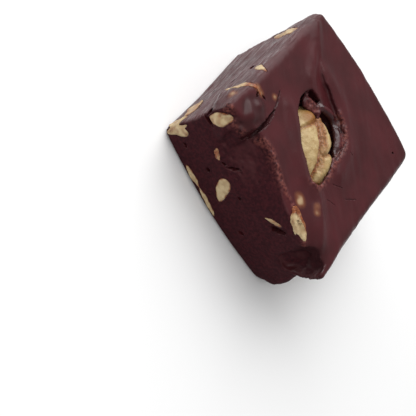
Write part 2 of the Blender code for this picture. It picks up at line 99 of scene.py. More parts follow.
def soft_box(name, place_m, width_m, watts):
    """A square area light that faces the block."""
    data = bpy.data.lights.new(name, "AREA")
    data.size = width_m
    data.energy = watts
    box = bpy.data.objects.new(name, data)
    box.location = place_m
    box.rotation_mode = "QUATERNION"
    box.rotation_quaternion = (LIT_POINT_M - Vector(place_m)).to_track_quat("-Z", "Y")
    bpy.context.scene.collection.objects.link(box)


bpy.context.scene.view_settings.view_transform = "Standard"
world = bpy.data.worlds.new("studio")
world.use_nodes = True
world.node_tree.nodes["Background"].inputs["Color"].default_value = linear("#ffffff")
world.node_tree.nodes["Background"].inputs["Strength"].default_value = SURROUNDING_LIGHT
bpy.context.scene.world = world
for name, light in SOFT_BOXES.items():
    soft_box(name, **light)

bpy.ops.mesh.primitive_plane_add(size=SHEET_WIDTH_M, location=(0.0, 0.0, SHEET_LEVEL_M))
floor = bpy.context.active_object
floor.name = "white_sheet"
sheet_material, _, sheet_shader = shader_of("matt_white_paper")
sheet_shader.inputs["Base Color"].default_value = linear("#f4f4f4")
sheet_shader.inputs["Roughness"].default_value = 0.9
floor.data.materials.append(sheet_material)


# The block of fudge: a thick piece cut from a slab of boiled sugar, cream and chocolate that was poured
# in a tray. The knife left four cuts that lean and bow a little, and the poured top has a soft rim.
# It is modelled as one fine mesh. Lengths are counted from the middle of a straight block, as cut.
MIDDLE = Vector((0.14, 1.38, 0.0))
LENGTH, DEPTH, HEIGHT = 58.0, 58.0, 28.0
CORNERS = {
    (0, 0, 0): (-28.6, -27.0, 0.0),
    (1, 0, 0): (30.2, -28.8, 0.0),
    (0, 1, 0): (-29.4, 18.0, 0.0),
    (1, 1, 0): (29.2, 27.2, 0.0),
    (0, 0, 1): (-29.2, -28.4, 28.2),
    (1, 0, 1): (29.3, -32.2, 27.2),
    (0, 1, 1): (-29.8, 32.2, 28.2),
    (1, 1, 1): (28.6, 33.4, 28.5),
}
BASE_BOW, TOP_BOW = 2.8, 3.0
RIM_RADIUS, FRONT_RIM_RADIUS, BASE_RADIUS = 3.0, 1.3, 1.2
WORN_CORNERS = (
    (Vector((30.6, -30.6, 0.0)), Vector((-1, 1, 1)), 8.0),
    (Vector((30.2, -32.0, 28.5)), Vector((-1, 1, -1)), 4.0),
    (Vector((-30.0, 34.2, 30.0)), Vector((1, -1, -0.3)), 6.0),
)
DENT, DENT_DEPTH, DENT_WIDTH = Vector((30.0, -30.0, 15.6)), 2.2, 3.6
SHOULDER_LEAN, SHOULDER_X, SHOULDER_WIDTH, SHOULDER_FOOT = 6.4, -11.0, 13.0, 14.0
FRONT_STRIP = (-24.0, -14.0)
WANDER, WANDER_LENGTH = 0.5, 19.0
BLOCK_CUTS, TOUCHING = 99, 1e-4


def smooth_step(value, low, high):
    """0 below low, 1 above high, with a smooth turn between them."""
    share = min(max((value - low) / (high - low), 0.0), 1.0)
    return share * share * (3.0 - 2.0 * share)


def mix(a, b, share):
    return a + (b - a) * share


def away_from_path(plan, path):
    """How far a plan point is from a path of straight runs."""
    nearest = math.inf
    for start, end in zip(path, path[1:]):
        start, run = Vector(start), Vector(end) - Vector(start)
        share = min(max((plan - start).dot(run) / run.length_squared, 0.0), 1.0)
        nearest = min(nearest, (plan - start - run * share).length)
    return nearest


TOP_RIDGES = (
    {"path": ((-27, 25), (-22, 20), (-19, 15), (-16.5, 10)), "height": 1.0, "width": 2.6},
    {"path": ((-14, 17.5), (-4, 16.0), (3, 13), (9, 8), (12, -2)), "height": 0.7, "width": 2.6},
    {"path": ((8.5, -15.5), (12, -17), (16, -21), (21, -26)), "height": 1.2, "width": 2.4},
    {"path": ((-15, -6), (-9, -9), (-3, -13.5), (3, -16.5)), "height": 0.7, "width": 2.6},
)
WAVE_HEIGHT, WAVE_LENGTH = 0.45, 15.0
SAG_CENTRE, SAG_DEPTH, SAG_WIDTH = Vector((20.5, -31.0)), 1.5, 5.6


def top_relief(plan):
    """How far the poured top stands above its flat level at a plan point."""
    lift = WAVE_HEIGHT * noise.noise(plan.to_3d() / WAVE_LENGTH)
    for ridge in TOP_RIDGES:
        lift += ridge["height"] * math.exp(-((away_from_path(plan, ridge["path"]) / ridge["width"]) ** 2))
    return lift - SAG_DEPTH * math.exp(-(((plan - SAG_CENTRE).length / SAG_WIDTH) ** 2))


def cut_block(straight):
    """Where a point of the straight block goes once its corners have strayed and its cuts have bowed."""
    u, v, w = straight.x / LENGTH + 0.5, straight.y / DEPTH + 0.5, straight.z / HEIGHT
    levels = []
    for k in (0, 1):
        front = mix(Vector(CORNERS[0, 0, k]), Vector(CORNERS[1, 0, k]), u)
        back = mix(Vector(CORNERS[0, 1, k]), Vector(CORNERS[1, 1, k]), u)
        levels.append(mix(front, back, v))
    bow = max(1.0 - (2.0 * u - 1.0) ** 2, 0.0)
    shift = TOP_BOW * w * v - BASE_BOW * (1.0 - w) * (1.0 - v)
    return mix(levels[0], levels[1], w) + Vector((0.0, shift * bow, 0.0))


def rounded(point):
    """A point of the straight block's surface, drawn in where an edge or a corner is round."""
    rim = mix(FRONT_RIM_RADIUS, RIM_RADIUS, smooth_step(point.y, *FRONT_STRIP))
    radius = mix(BASE_RADIUS, rim, smooth_step(point.z, 0.0, HEIGHT))
    inner = Vector(
        (
            min(max(point.x, radius - LENGTH / 2), LENGTH / 2 - radius),
            min(max(point.y, radius - DEPTH / 2), DEPTH / 2 - radius),
            min(max(point.z, radius), HEIGHT - radius),
        )
    )
    out = point - inner
    return inner + out.normalized() * radius if out.length > radius else point


def cut_relief(point):
    """How far the knife cuts stray sideways at a point."""
    wander = Vector(
        (
            noise.noise(point / WANDER_LENGTH + Vector((5.0, 0.0, 0.0))),
            noise.noise(point / WANDER_LENGTH + Vector((0.0, 9.0, 0.0))),
            0.0,
        )
    )
    leaning = math.exp(-(((point.x - SHOULDER_X) / SHOULDER_WIDTH) ** 2))
    leaning *= smooth_step(point.z, SHOULDER_FOOT, HEIGHT) * smooth_step(-point.y, DEPTH * 0.25, DEPTH * 0.45)
    return wander * WANDER + Vector((0.0, SHOULDER_LEAN * leaning, 0.0))


def worn(point, on_base):
    """A point drawn in where a corner is worn off or the upright edge is dented. The base stays flat."""
    for place, inward, reach in WORN_CORNERS:
        over = reach - (point - place).dot(inward)
        if over > 0.0:
            way = Vector((inward.x, inward.y, 0.0 if on_base else inward.z))
            point = point + way * (over * over / (over + 1.0)) / way.dot(inward)
    dent = DENT_DEPTH * math.exp(-(((point - DENT).length / DENT_WIDTH) ** 2))
    return point + Vector((-dent, dent, 0.0)) / math.sqrt(2.0)


def only(obj):
    """Selects one object and makes it the active one."""
    bpy.ops.object.select_all(action="DESELECT")
    obj.select_set(True)
    bpy.context.view_layer.objects.active = obj
    return obj


def apply_modifier(obj, kind, **settings):
    """Adds a modifier to an object and applies it."""
    only(obj)
    modifier = obj.modifiers.new(kind.lower(), kind)
    for name, value in settings.items():
        setattr(modifier, name, value)
    bpy.ops.object.modifier_apply(modifier=modifier.name)


def carve(obj, other):
    """Cuts another object out of an object, and removes it."""
    apply_modifier(obj, "BOOLEAN", operation="DIFFERENCE", solver="MANIFOLD", object=other)
    bpy.data.objects.remove(other)


def join(obj, others):
    """Joins closed objects into one, which may overlap itself."""
    only(obj)
    for other in others:
        other.select_set(True)
    bpy.ops.object.join()


def in_room(point):
    """Block millimetres to the scene's metres."""
    return (point - MIDDLE) * MM


def in_block(place):
    """The scene's metres to block millimetres."""
    return place / MM + MIDDLE


def object_from(name, bm):
    """A new object from a bmesh in block millimetres, which is freed."""
    bmesh.ops.triangulate(bm, faces=[face for face in bm.faces if len(face.verts) > 3])
    bmesh.ops.recalc_face_normals(bm, faces=bm.faces)
    for vert in bm.verts:
        vert.co = in_room(vert.co)
    mesh = bpy.data.meshes.new(name)
    bm.to_mesh(mesh)
    bm.free()
    obj = bpy.data.objects.new(name, mesh)
    bpy.context.scene.collection.objects.link(obj)
    return obj


def push_out(obj, amount):
    """Moves each point of an object out by a function of its place and its normal, in millimetres."""
    normals = [vert.normal.copy() for vert in obj.data.vertices]
    for vert, out in zip(obj.data.vertices, normals):
        vert.co += out * amount(in_block(vert.co), out) * MM


def surface_of(obj):
    """The surface of an object, to cast rays at and to find the nearest point of."""
    return BVHTree.FromObject(obj, bpy.context.evaluated_depsgraph_get())


def skin_between(bm, rings, closed):
    """Faces between rows of points, each a ring or an open row."""
    rows = [[bm.verts.new(point) for point in ring] for ring in rings]
    count = len(rows[0])
    for upper, lower in zip(rows, rows[1:]):
        for i in range(count if closed else count - 1):
            j = (i + 1) % count
            bm.faces.new((upper[i], upper[j], lower[j], lower[i]))
    return rows


bpy.ops.object.select_all(action="DESELECT")
bpy.ops.mesh.primitive_cube_add(size=1.0)
block = bpy.context.active_object
block.name = "fudge_block"
bpy.ops.object.mode_set(mode="EDIT")
bpy.ops.mesh.subdivide(number_cuts=BLOCK_CUTS)
bpy.ops.object.mode_set(mode="OBJECT")
for vert in block.data.vertices:
    straight = Vector((vert.co.x * LENGTH, vert.co.y * DEPTH, (vert.co.z + 0.5) * HEIGHT))
    on_base = straight.z < TOUCHING
    point = cut_block(rounded(straight))
    lift = smooth_step(straight.z, HEIGHT * 0.75, HEIGHT) * top_relief(point.to_2d())
    vert.co = in_room(worn(point + cut_relief(point) + Vector((0.0, 0.0, lift)), on_base))


# The fold in the top: the poured fudge laps over itself beside the nut. The near side has sunk, and the
# far side ends in a lip that overhangs it. The space above the near side is cut out along the lip.
FOLD_LIP = (
    (-23.5, 21.6), (-20.5, 19.8), (-17.4, 17.6), (-14.0, 15.1), (-11.0, 14.5), (-8.3, 14.2), (-5.7, 13.4),
    (-3.2, 12.9), (-0.5, 12.0), (2.2, 10.9), (4.8, 9.4), (6.9, 7.2), (7.9, 4.4), (8.1, 1.3), (7.9, -1.5),
)
FOLD_DROP, FOLD_REACH, FOLD_END_REACH, FOLD_SLOPE = 1.8, 9.0, 2.6, 4.6
ABOVE = 34.0


def smooth_curve(points, steps, closed=False):
    """Points of a smooth curve through the given ones, with steps on each stretch."""
    count = len(points)
    made = []
    for i in range(count if closed else count - 1):
        ends = [(i + k) % count if closed else min(max(i + k, 0), count - 1) for k in (-1, 0, 1, 2)]
        before, start, end, after = (Vector(points[k]) for k in ends)
        for step in range(steps):
            t = step / steps
            curve = 2 * start + (end - before) * t
            curve += (2 * before - 5 * start + 4 * end - after) * t**2
            curve += (3 * start - before - 3 * end + after) * t**3
            made.append(curve / 2)
    return made if closed else made + [Vector(points[-1])]


def fold_space(surface):
    """The space above the sunk side of the fold, from its lip to where the top is whole again."""
    lip = smooth_curve(FOLD_LIP, 6)
    rows = []
    for i, spot in enumerate(lip):
        share = i / (len(lip) - 1)
        run = lip[min(i + 1, len(lip) - 1)] - lip[max(i - 1, 0)]
        low_side = Vector((run.y, -run.x)).normalized()
        opening = mix(0.06, 1.0, smooth_step(share, 0.0, 0.42))
        closing = mix(1.0, 0.8, smooth_step(share, 0.5, 0.7))
        drop = FOLD_DROP * opening * closing
        reach = mix(FOLD_REACH, FOLD_END_REACH, smooth_step(share, 0.4, 0.62))
        level = smooth_step(share, 0.35, 0.55)
        row = [(0.0, ABOVE), (0.0, -0.35 * drop), (-0.32 * drop, -0.62 * drop), (-0.1 * drop, -drop)]
        for d in (0.12, 0.3, 0.5, 0.75, 1.0):
            fall = mix(math.exp(-((d * reach / FOLD_SLOPE) ** 2)), 1.0, level)
            row.append((d * reach, 0.03 - drop * fall))
        row.append((reach, ABOVE))
        points = []
        for d, z in row:
            plan = spot + low_side * d
            hit = surface.ray_cast(in_room(plan.to_3d() + Vector((0, 0, 60))), Vector((0, 0, -1)))[0]
            base = 0.0 if z == ABOVE or hit is None else in_block(hit).z
            points.append(Vector((plan.x, plan.y, base + z)))
        rows.append(points)
    bm = bmesh.new()
    made = skin_between(bm, rows, closed=True)
    bm.faces.new(made[0])
    bm.faces.new(made[-1][::-1])
    return object_from("fold_space", bm)


carve(block, fold_space(surface_of(block)))


# The hollow round the walnut half. The fudge sank away from the nut as it cooled, so that a thin sheet
# overhangs the nut's near side and a gap shows at its far side, with a glossy bead of fudge along it.
HOLLOW_RIM = (
    (-11.8, -3.6), (-13.3, -1.3), (-14.3, 1.2), (-14.4, 4.0), (-13.4, 7.0), (-10.8, 8.2), (-7.6, 8.6),
    (-4.4, 9.8), (-2.3, 10.8), (-0.4, 11.0), (1.6, 10.2), (3.7, 9.2), (5.5, 7.7), (6.6, 5.0), (7.0, 1.5),
    (7.5, -2.5), (8.8, -5.3), (9.2, -8.5), (9.0, -12.1), (8.0, -14.3), (5.8, -14.6), (2.9, -13.4),
    (-0.3, -11.6), (-4.0, -10.0), (-7.4, -7.0), (-9.8, -5.0),
)
HOLLOW_MIDDLE = Vector((-2.5, -1.5))
HOLLOW_LEVELS = (
    (36.0, 0.0), (27.6, 0.0), (26.6, 0.5), (25.0, 1.3), (22.5, 1.6), (20.4, 0.6), (18.2, -1.2), (16.8, -3.2),
)


def hollow_space():
    """The space in the hollow: straight through the top, wider under its rim, and a bowl below."""
    rim = smooth_curve(HOLLOW_RIM, 4, closed=True)
    rings = []
    for level, undercut in HOLLOW_LEVELS:
        outward = [(plan - HOLLOW_MIDDLE).normalized() for plan in rim]
        wider = [plan + out * undercut for plan, out in zip(rim, outward)]
        rings.append([Vector((plan.x, plan.y, level)) for plan in wider])
    bm = bmesh.new()
    made = skin_between(bm, rings, closed=True)
    bm.faces.new(made[0])
    bm.faces.new(made[-1][::-1])
    return object_from("hollow_space", bm)


def bar(name, path, segments=12):
    """A round bar with closed ends along a smooth path of points and radii, in block millimetres."""
    spots = smooth_curve(path, 6)
    bm = bmesh.new()
    rings = []
    for i, spot in enumerate(spots):
        run = spots[min(i + 1, len(spots) - 1)].to_3d() - spots[max(i - 1, 0)].to_3d()
        across = run.cross(Vector((0, 0, 1))).normalized()
        upward = across.cross(run).normalized()
        turns = [math.tau * k / segments for k in range(segments)]
        rings.append([spot.to_3d() + (across * math.cos(t) + upward * math.sin(t)) * spot.w for t in turns])
    made = skin_between(bm, rings, closed=True)
    bm.faces.new(made[0])
    bm.faces.new(made[-1][::-1])
    return object_from(name, bm)


BEAD = (
    (-8.6, 7.4, 25.2, 0.5), (-6.8, 8.2, 26.3, 1.1), (-4.4, 9.5, 26.6, 1.3), (-2.1, 10.3, 26.4, 1.2),
    (0.1, 10.2, 25.8, 0.8), (1.8, 9.5, 25.8, 1.0), (3.5, 8.4, 26.2, 1.4), (5.3, 6.8, 26.4, 1.5),
    (6.3, 4.7, 26.4, 1.3), (6.7, 3.2, 26.2, 0.8), (6.5, 2.2, 26.5, 0.4),
)
carve(block, hollow_space())
bead = bar("bead", BEAD)


# The torn place below the front right corner of the top, where fudge stuck to the knife: a shallow uneven
# recess in the front cut. Its inside is painted dark later on, as painted shade.
TORN_CENTRE, TORN_RADII = Vector((23.2, -34.4, 22.6)), Vector((6.6, 8.4, 8.4))


def blob(name, centre, radii, turn=None, segments=24, rough=0.0, pitch=1.7):
    """A closed egg shape with a slightly uneven surface, in block millimetres."""
    bm = bmesh.new()
    bmesh.ops.create_uvsphere(bm, u_segments=segments, v_segments=segments // 2, radius=1.0)
    for vert in bm.verts:
        reach = 1.0 + rough * noise.noise(vert.co * pitch + Vector(centre))
        grown = Vector(a * b for a, b in zip(vert.co, radii)) * reach
        vert.co = Vector(centre) + (turn @ grown if turn else grown)
    return object_from(name, bm)


carve(block, blob("torn_space", TORN_CENTRE, TORN_RADII, segments=48, rough=0.3))


# The lump at the front left corner, where the poured fudge only just covers a nut, and crumbs of fudge
# that the knife and the shrinking left: in the hollow, along its far edge and along the front rim.
LUMP_CENTRE, LUMP_RADII = Vector((-22.4, -19.8, 21.3)), Vector((8.2, 9.4, 7.5))
RIM_CRUMBS = (
    (-28.6, -26.8), (-25.0, -27.8), (-21.6, -27.4),
    (-18.7, -26.5), (-16.1, -24.6), (-13.4, -22.6), (-10.2, -22.5), (-7.9, -23.2), (-4.5, -24.5),
    (-1.1, -25.8), (2.5, -26.7), (6.2, -27.0), (12.5, -28.3), (17.7, -30.2),
)
CRUMB_COUNT, CRUMB_LEVEL, CRUMB_SPREAD, CRUMB_SIZES = 95, 26.0, 0.8, (0.35, 0.75)
CRUMB_START, CRUMB_END, CRUMB_INWARD, CRUMB_DEPTH = (-13.2, 5.8), (-6.0, 8.2), (0.3, -0.95), 3.6
crumb_random = random.Random(17)
lump = blob("lump", LUMP_CENTRE, LUMP_RADII, segments=64, rough=0.10, pitch=2.6)


def crumb(place, size):
    """One crumb of fudge: a small uneven egg."""
    stretch = [size * crumb_random.uniform(0.6, 1.25) for _ in range(3)]
    turn = Matrix.Rotation(crumb_random.uniform(0, math.tau), 3, "Z")
    return blob("crumb", place, stretch, turn, segments=10, rough=0.5, pitch=1.3)


crumbs = []
for _ in range(CRUMB_COUNT):
    share, inward = crumb_random.random(), crumb_random.uniform(0.0, CRUMB_DEPTH)
    plan = mix(Vector(CRUMB_START), Vector(CRUMB_END), share) + Vector(CRUMB_INWARD) * inward
    place = Vector((plan.x, plan.y, CRUMB_LEVEL))
    place += Vector(crumb_random.uniform(-CRUMB_SPREAD, CRUMB_SPREAD) for _ in range(3))
    crumbs.append(crumb(place, crumb_random.uniform(*CRUMB_SIZES)))
join(block, [lump, bead] + crumbs)


# The skin: one fine mesh over all of that, which then gets the marks of the spatula and of the knife.
SKIN_VOXEL = 0.49
STREAK = Vector((0.80, -0.565, 0.0)).normalized()
ACROSS_STREAK = Vector((0.565, 0.80, 0.0)).normalized()
TOP_STREAKS = (
    {"height": 0.12, "x_size": 9.0, "y_size": 2.0, "start": 0.0},
    {"height": 0.03, "x_size": 4.0, "y_size": 0.8, "start": 3.0},
)
CUT_STREAKS = (
    {"height": 0.17, "x_size": 0.9, "y_size": 7.0, "start": 7.0},
    {"height": 0.34, "x_size": 3.2, "y_size": 14.0, "start": 2.0},
)
PEEL_HEIGHT, PEEL_SIZE = 0.02, 1.1
LUMPS_HEIGHT, LUMPS_SIZE, BUMPS_HEIGHT, BUMPS_SIZE = 0.12, 2.6, 0.07, 1.1
PIT_DEPTH, PIT_SIZE, PIT_START = 0.22, 0.9, Vector((40.0, 0.0, 0.0))
apply_modifier(block, "REMESH", mode="VOXEL", voxel_size=SKIN_VOXEL * MM, use_smooth_shade=True)


def streak(marks, x, y):
    """The lift of one set of streaks at a plan point. Each set has its own cell size in x and in y."""
    return marks["height"] * noise.noise(Vector((x / marks["x_size"], y / marks["y_size"], marks["start"])))


def top_marks(point):
    """Soft streaks along the spatula's way, and a faint orange peel."""
    along, across = point.dot(STREAK), point.dot(ACROSS_STREAK)
    lift = sum(streak(marks, along, across) for marks in TOP_STREAKS)
    return lift + PEEL_HEIGHT * noise.noise(point / PEEL_SIZE)


MARKS_DEPTH = 0.9
VALLEY = ((-22.6, 27.5), (-21.7, 25.7), (-20.3, 21.3), (-18.5, 19.2))
SCOOP = Vector((-16.2, 26.0))


def front_marks(point):
    """The valley beside the corner lump and the scoop next to it, in the front cut."""
    plan = Vector((point.x, point.z))
    valley = MARKS_DEPTH * math.exp(-((away_from_path(plan, VALLEY) / 1.0) ** 2))
    return -valley - MARKS_DEPTH * math.exp(-(((plan - SCOOP).length / 2.6) ** 2))


def cut_marks(point, out):
    """Small lumps and torn pits in a knife cut. The left one is smeared, with streaks along it."""
    smeared = smooth_step(-out.x, 0.5, 0.8)
    lift = LUMPS_HEIGHT * noise.noise(point / LUMPS_SIZE) + BUMPS_HEIGHT * noise.noise(point / BUMPS_SIZE)
    lift -= PIT_DEPTH * smooth_step(noise.noise(point / PIT_SIZE + PIT_START), 0.34, 0.6)
    streaks = sum(streak(marks, point.z, point.y) for marks in CUT_STREAKS)
    if out.y < -0.5 and point.x < -10.0 and point.z > 15.0:
        lift += front_marks(point)
    return mix(lift, streaks + 0.3 * lift, smeared)


RAGGED_EDGE = (
    (-1.0, 12.2), (4.2, 10.0), (7.4, 6.0), (7.9, 1.0), (8.3, -2.6), (9.6, -6.0), (9.9, -11.0), (8.6, -15.2),
    (5.4, -15.6),
)


def raggedness(point):
    """1 where the fudge is crumbly: along the front rim and along the far edge of the hollow."""
    if point.z < 24.0 or point.y > 15.0:
        return 0.0
    plan = point.to_2d()
    rim = away_from_path(plan, RIM_CRUMBS) / 0.8
    edge = away_from_path(plan, RAGGED_EDGE) / 0.9
    return math.exp(-min(rim, edge) ** 2) * smooth_step(point.z, 24.0, 26.0)


def rim_marks(point):
    """Crumbs on the ragged edges."""
    near = raggedness(point)
    if near < 0.02:
        return 0.0
    return near * (0.95 * abs(noise.noise(point / 0.9)) + 0.5 * noise.noise(point / 1.7))


def block_marks(point, out):
    """How far the marks of the spatula, of the knife and of ragged edges move a point of the skin."""
    if point.z < 0.6:
        return 0.0
    lift = mix(cut_marks(point, out), top_marks(point), smooth_step(out.z, 0.45, 0.85))
    return (lift + rim_marks(point)) * smooth_step(point.z, 0.6, 1.4)


for vert in block.data.vertices:
    if in_block(vert.co).z < 0.15:
        vert.co.z = 0.0
push_out(block, block_marks)


# Walnut pieces. The knife sliced some flush with the cut: such a piece has a face that follows the fudge,
# pale flesh inside and brown papery skin at its rim. The two hidden cuts get the same, where the solids
# have their nodes.
fudge_surface = surface_of(block)
nuts = {}
SIDES = {
    "front": (Vector((0, -1, 0)), lambda a, b: Vector((a, -60, b))),
    "left": (Vector((-1, 0, 0)), lambda a, b: Vector((-60, a, b))),
    "right": (Vector((1, 0, 0)), lambda a, b: Vector((60, a, b))),
    "back": (Vector((0, 1, 0)), lambda a, b: Vector((a, 60, b))),
    "top": (Vector((0, 0, 1)), lambda a, b: Vector((a, b, 60))),
}
STRAYS = (0.0, 0.013, -0.017, 0.031)
EGG_POINTS = 16
BROWN_MOTTLE, BROWN_SIZE = 0.8, 1.5


def strike(side, a, b):
    """The point of the fudge that one sees from a side, at two of its coordinates."""
    out, origin = SIDES[side]
    for stray in STRAYS:
        hit = fudge_surface.ray_cast(in_room(origin(a + stray, b - stray)), -out)[0]
        if hit is not None:
            return in_block(hit)
    raise ValueError(f"nothing is seen from the {side} at {a:.1f}, {b:.1f}")


def paint(obj, layer, amount):
    """Gives each point of a piece a value, by a function of its place in block millimetres and its normal."""
    values = [amount(in_block(vert.co), vert.normal) for vert in obj.data.vertices]
    obj.data.attributes.new(layer, "FLOAT", "POINT").data.foreach_set("value", values)


def slice_piece(name, side, outline, depth, dome=0.15, proud=0.12, seed=0):
    """A sliced nut, whose face in the cut has an outline given by points of two coordinates each."""
    out = SIDES[side][0]
    rim = smooth_curve(outline, max(2, 84 // len(outline)), closed=True)
    middle = sum(rim, Vector((0.0, 0.0))) / len(rim)
    shares = [0.12 * k for k in range(1, 8)] + [0.90, 0.95, 0.985, 1.0]
    bm = bmesh.new()
    skin = bm.verts.layers.float.new("skin")
    rings = []
    for share in shares:
        lift = dome * (1.0 - share**2) + proud * (1.0 - share**10) - 0.05
        ring = [strike(side, *(middle + (spot - middle) * share)) for spot in rim]
        rings.append([p + out * (lift + 0.12 * noise.noise(p / 1.6 + Vector((seed, 0, 0)))) for p in ring])
    for share in reversed(shares[:-1]):
        sunk = depth * math.sqrt(1.0 - share**2) + 0.05
        rings.append([strike(side, *(middle + (spot - middle) * share)) - out * sunk for spot in rim])
    made = skin_between(bm, rings, closed=True)
    for ring, share in zip(made, shares + [1.0] * len(shares)):
        for vert in ring:
            wander = 0.25 * noise.noise(vert.co / 1.3 + Vector((0, seed, 0)))
            vert[skin] = smooth_step(share + wander * share, 0.80, 1.02)
    bm.faces.new(made[0][::-1])
    bm.faces.new(made[-1])
    return object_from(name, bm)


def egg(centre, half_length, half_width, tilt, uneven, seed):
    """Points of an uneven oval outline, its length turned by tilt degrees."""
    turn = Matrix.Rotation(math.radians(tilt), 2)
    points = []
    for k in range(EGG_POINTS):
        t = math.tau * k / EGG_POINTS
        reach = 1.0 + uneven * noise.noise(Vector((1.3 * math.cos(t), 1.3 * math.sin(t), seed * 3.7)))
        spot = Vector((math.cos(t) * half_length, math.sin(t) * half_width)) * reach
        points.append(Vector(centre) + turn @ spot)
    return points


def add(tree, kind, inputs=None, **settings):
    """Adds a shader node with its settings, and with values or sockets for its inputs."""
    node = tree.nodes.new(kind)
    for name, value in settings.items():
        setattr(node, name, value)
    for name, value in (inputs or {}).items():
        if isinstance(value, bpy.types.NodeSocket):
            tree.links.new(value, node.inputs[name])
        else:
            node.inputs[name].default_value = value
    return node


def pattern(tree, size, detail=2.0):
    """A noise pattern with features of about a size in millimetres."""
    place = add(tree, "ShaderNodeTexCoord").outputs["Object"]
    inputs = {"Vector": place, "Scale": 1.0 / (size * MM), "Detail": detail}
    return add(tree, "ShaderNodeTexNoise", inputs).outputs["Fac"]


def layer(tree, name):
    """A value painted on the points of a piece."""
    return add(tree, "ShaderNodeAttribute", attribute_name=name).outputs["Fac"]


def blend(tree, amount, first, second):
    """A mix of two colours, each a hex or a socket."""
    inputs = {"Factor": amount}
    node = add(tree, "ShaderNodeMix", inputs, data_type="RGBA")
    for socket, colour in ((node.inputs[6], first), (node.inputs[7], second)):
        if isinstance(colour, str):
            socket.default_value = linear(colour)
        else:
            tree.links.new(colour, socket)
    return node.outputs[2]


def span(tree, value, low, high, to_low, to_high):
    """A value taken from one range to another, held at the ends."""
    inputs = {"Value": value, "From Min": low, "From Max": high, "To Min": to_low, "To Max": to_high}
    return add(tree, "ShaderNodeMapRange", inputs).outputs["Result"]


def walnut_material(name, dark, light):
    """Walnut kernel between two flesh colours, with skin or a golden cap where the points say so."""
    material, tree, shader = shader_of(name)
    mottle = span(tree, pattern(tree, 1.8, 3.0), 0.38, 0.64, 0.0, 1.0)
    fine = span(tree, pattern(tree, 0.5, 3.0), 0.42, 0.62, 0.0, 1.0)
    colour = blend(tree, layer(tree, "gold"), blend(tree, mottle, dark, light), "#85540c")
    skin_colour = blend(tree, fine, "#662c0c", "#955222")
    colour = blend(tree, layer(tree, "skin"), colour, skin_colour)
    tree.links.new(colour, shader.inputs["Base Color"])
    shader.inputs["Roughness"].default_value = 0.5
    bump = add(tree, "ShaderNodeBump", {"Height": fine, "Strength": 0.3, "Distance": 0.1 * MM})
    tree.links.new(bump.outputs["Normal"], shader.inputs["Normal"])
    return material


def finish_nut(node, piece, material, browned=0.0, browner=None):
    """Browns a nut's flesh, more where a function of place says so, and lets it replace its node."""
    if browned > 0.0:
        skin = piece.data.attributes.get("skin") or piece.data.attributes.new("skin", "FLOAT", "POINT")
        for value, vert in zip(skin.data, piece.data.vertices):
            point = in_block(vert.co)
            amount = browned + (browner(point) if browner else 0.0)
            value.value = max(value.value, amount + BROWN_MOTTLE * noise.noise(point / BROWN_SIZE))
    piece.data.materials.append(material)
    piece.data.shade_smooth()
    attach(piece, "root")
    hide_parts(node)
    nuts[node] = piece


def cut_nut(node, name, side, outline, depth, browned=0.0, **form):
    """A finished sliced nut."""
    finish_nut(node, slice_piece(name, side, outline, depth, **form), sliced, browned)


sliced = walnut_material("sliced_walnut_kernel", "#a78d66", "#c0aa82")
CORNER_SLICE = (
    (-27.8, 19.2), (-28.1, 20.7), (-28.0, 22.4), (-27.0, 24.3), (-25.6, 25.8), (-24.2, 25.8), (-23.9, 24.5),
    (-24.0, 22.5), (-25.0, 20.5), (-26.4, 19.2),
)
FRONT_OVAL = (
    (-8.9, 13.2), (-7.4, 13.9), (-5.6, 12.9), (-4.2, 10.6), (-2.9, 7.9), (-2.7, 6.2), (-3.7, 6.2),
    (-5.2, 6.6), (-7.2, 7.8), (-8.7, 9.7), (-9.5, 11.6),
)
FRONT_SMALL, FRONT_FLAKE = egg((-16.8, 15.0), 1.8, 0.95, -18, 0.4, 3), egg((8.3, 20.7), 2.6, 0.6, 41, 0.3, 4)
BASE_1, BASE_2 = egg((-13.4, 1.9), 4.2, 0.85, 3, 0.4, 6), egg((-4.0, 1.8), 4.7, 0.8, -3, 0.4, 7)
LEFT_LONG, LEFT_SMALL = egg((20.4, 20.4), 5.4, 2.2, 100, 0.3, 9), egg((-4.8, 25.0), 2.8, 1.3, 125, 0.4, 10)
cut_nut("walnut_corner_slice", "corner_slice", "front", CORNER_SLICE, 3.0, browned=0.06, dome=0.4, seed=1)
cut_nut("walnut_front_oval", "front_oval", "front", FRONT_OVAL, 3.4, dome=0.35, seed=2)
cut_nut("walnut_front_small", "front_small", "front", FRONT_SMALL, 1.4, browned=0.6, proud=0.0, seed=3)
cut_nut("walnut_front_flake", "front_flake", "front", FRONT_FLAKE, 1.5, browned=0.4, dome=0.3, seed=4)
cut_nut("walnut_base_slice_1", "base_slice_1", "front", BASE_1, 2.4, dome=0.4, seed=6)
cut_nut("walnut_base_slice_2", "base_slice_2", "front", BASE_2, 2.4, dome=0.4, seed=7)
cut_nut("walnut_left_long", "left_long", "left", LEFT_LONG, 2.8, browned=0.3, dome=0.3, seed=9)
cut_nut("walnut_left_small", "left_small", "left", LEFT_SMALL, 2.0, seed=10)
for k in range(4):
    for side in ("right", "back"):
        node = f"walnut_{side}_{k + 1}"
        low, high = (in_block(corner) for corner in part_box(node))
        middle, half = (low + high) / 2, (high - low) / 2
        along = ("y", "x")[side == "back"]
        outline = egg((getattr(middle, along), middle.z), getattr(half, along), half.z * 0.9, 0, 0.5, 20 + k)
        cut_nut(node, f"{side}_nut_{k + 1}", side, outline, 2.4, dome=0.3, seed=20 + k)


